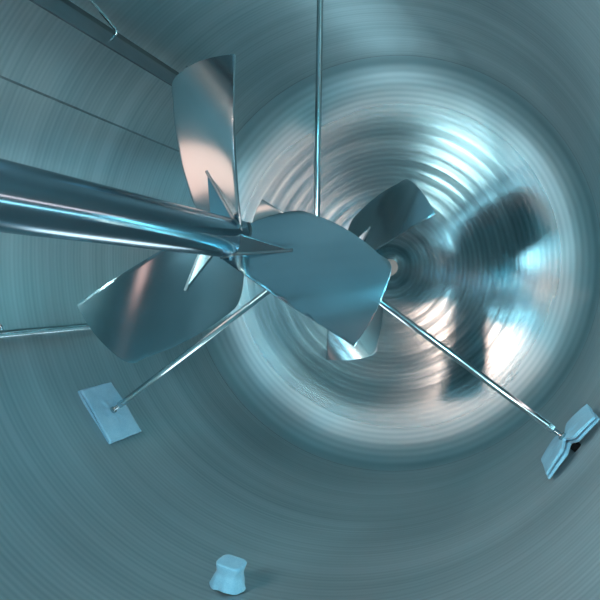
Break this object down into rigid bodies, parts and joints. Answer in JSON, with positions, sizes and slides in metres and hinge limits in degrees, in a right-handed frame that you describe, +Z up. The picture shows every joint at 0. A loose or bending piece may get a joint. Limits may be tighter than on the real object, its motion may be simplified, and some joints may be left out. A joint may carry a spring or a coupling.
{
  "type": "agitated stainless steel vertical storage tank",
  "caption": "Upright dished-end tank on legs, with a top-driven two-impeller agitator steadied by rods to padded feet on the wall.",
  "frame": {"origin": "on the tank's axis at floor level, under the middle of the leg feet", "axes": "+Z up along the tank's axis; the manway is over -Y"},
  "size_m": [2.774, 2.774, 6.001],
  "materials": {
    "ground_steel": "belt-ground stainless steel with fine circumferential bands",
    "polished_steel": "polished stainless steel",
    "agitator_steel": "polished stainless steel with a soft sheen",
    "drive_paint": "satin blue-grey machine enamel",
    "blue_cloth": "folded light blue wiping cloth"
  },
  "bodies": {
    "vessel": {"shell_1": "ground_steel", "shell_2": "ground_steel", "shell_3": "ground_steel", "shell_4": "ground_steel", "shell_5": "ground_steel", "shell_6": "ground_steel", "shell_7": "ground_steel", "shell_8": "ground_steel", "top_head_1": "ground_steel", "top_head_2": "ground_steel", "top_head_3": "ground_steel", "top_head_4": "ground_steel", "bottom_head": "ground_steel", "baffle": "ground_steel", "leg_1": "ground_steel", "leg_2": "ground_steel", "leg_3": "ground_steel", "leg_4": "ground_steel", "manway_neck": "polished_steel", "inlet_nozzle": "polished_steel", "vent_nozzle": "polished_steel", "spray_nozzle": "polished_steel", "outlet_nozzle": "polished_steel", "centre_nozzle": "polished_steel", "dip_pipe": "polished_steel", "instrument_stub": "polished_steel", "brace_collar": "polished_steel", "brace_rod_1": "polished_steel", "brace_rod_2": "polished_steel", "brace_rod_3": "polished_steel", "drive_stool": "drive_paint", "gearbox": "drive_paint", "motor": "drive_paint", "wrap_cloth": "blue_cloth", "brace_pad_1": "blue_cloth", "brace_pad_2": "blue_cloth", "brace_pad_3": "blue_cloth"},
    "agitator": {"agitator_shaft": "agitator_steel", "upper_blade_1": "agitator_steel", "upper_blade_2": "agitator_steel", "upper_blade_3": "agitator_steel", "lower_blade_1": "agitator_steel", "lower_blade_2": "agitator_steel", "lower_blade_3": "agitator_steel"}
  },
  "joints": [
    {"name": "agitator_spin", "type": "hinge", "parent": "vessel", "child": "agitator", "pos_m": [0, 0, 5.5], "axis": [0, 0, 1], "continuous": true}
  ]
}
